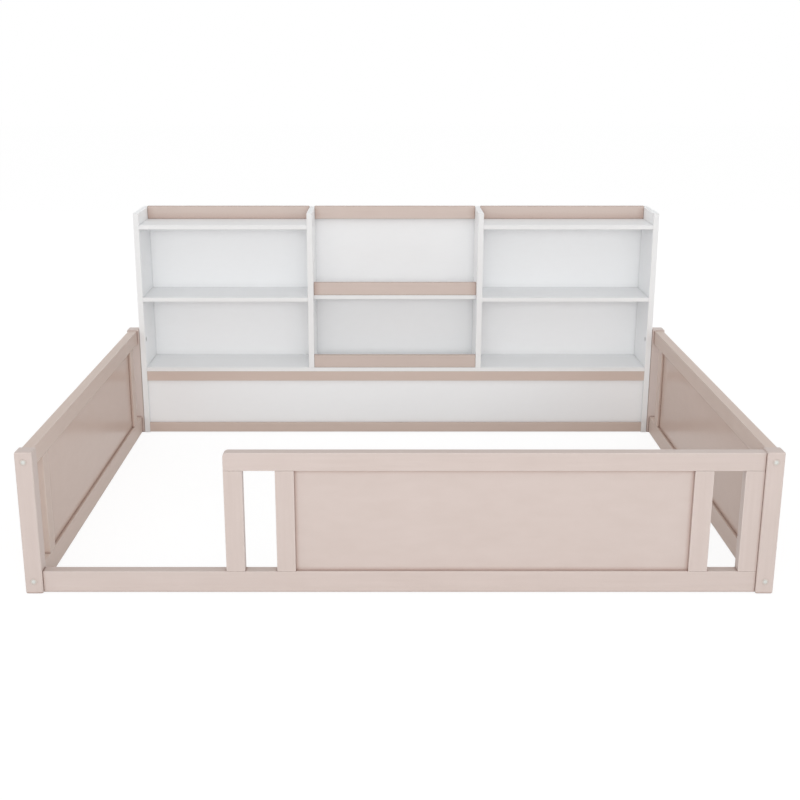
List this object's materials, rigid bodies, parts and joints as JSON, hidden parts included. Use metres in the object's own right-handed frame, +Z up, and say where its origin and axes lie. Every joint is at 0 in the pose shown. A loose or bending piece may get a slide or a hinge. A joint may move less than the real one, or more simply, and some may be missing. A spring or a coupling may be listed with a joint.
{
  "type": "floor bed frame with bookcase",
  "caption": "Low open floor-bed frame: square corner posts, panelled ends, a fence with an entry gap and a tall bookcase along the back; a mattress lies inside it on the floor.",
  "frame": {"origin": "on the floor, below the middle of the whole piece's box", "axes": "+X along the bed, towards the fenced end; -Y the fence side, +Y the bookcase side; +Z up"},
  "size_m": [2.014, 1.6506, 0.839],
  "materials": {
    "blush_paint": "satin paint on solid wood and board, pale blush",
    "panel_board": "satin paint on board panel, pale blush",
    "white_board": "satin white laminate on board",
    "cap_plastic": "moulded plastic, matte",
    "zinc_steel": "zinc plated",
    "dowel_beech": "raw beech, fluted"
  },
  "bodies": {
    "root": {"back_panel": "white_board", "back_post_left": "blush_paint", "back_post_right": "blush_paint", "back_screws": "zinc_steel", "barrel_nuts": "zinc_steel", "base_panel": "white_board", "base_screws": "zinc_steel", "bookcase_side_left": "white_board", "bookcase_side_right": "white_board", "bottom_shelf": "white_board", "cover_caps": "cap_plastic", "divider_left": "white_board", "divider_right": "white_board", "divider_screws": "zinc_steel", "fence_panel": "panel_board", "fence_stile_1": "blush_paint", "fence_stile_2": "blush_paint", "fence_stile_3": "blush_paint", "fence_stile_4": "blush_paint", "fence_top_rail": "blush_paint", "frame_bolts": "zinc_steel", "front_lower_rail": "blush_paint", "front_post_left": "blush_paint", "front_post_right": "blush_paint", "left_end_back_stile": "blush_paint", "left_end_bottom_rail": "blush_paint", "left_end_front_stile": "blush_paint", "left_end_panel": "panel_board", "left_end_top_rail": "blush_paint", "lower_base_rail": "blush_paint", "lower_retainer": "blush_paint", "middle_retainer": "blush_paint", "middle_shelf_centre": "white_board", "middle_shelf_left": "white_board", "middle_shelf_right": "white_board", "rail_dowels": "dowel_beech", "retainer_screws": "zinc_steel", "right_end_back_stile": "blush_paint", "right_end_bottom_rail": "blush_paint", "right_end_front_stile": "blush_paint", "right_end_panel": "panel_board", "right_end_top_rail": "blush_paint", "shelf_dowels": "dowel_beech", "shelf_screws": "zinc_steel", "stile_dowels": "dowel_beech", "strip_screws": "zinc_steel", "threaded_inserts": "zinc_steel", "tie_bolts": "zinc_steel", "top_shelf_left": "white_board", "top_shelf_right": "white_board", "top_strip_centre": "blush_paint", "top_strip_left": "blush_paint", "top_strip_right": "blush_paint", "upper_base_rail": "blush_paint"}
  },
  "joints": []
}
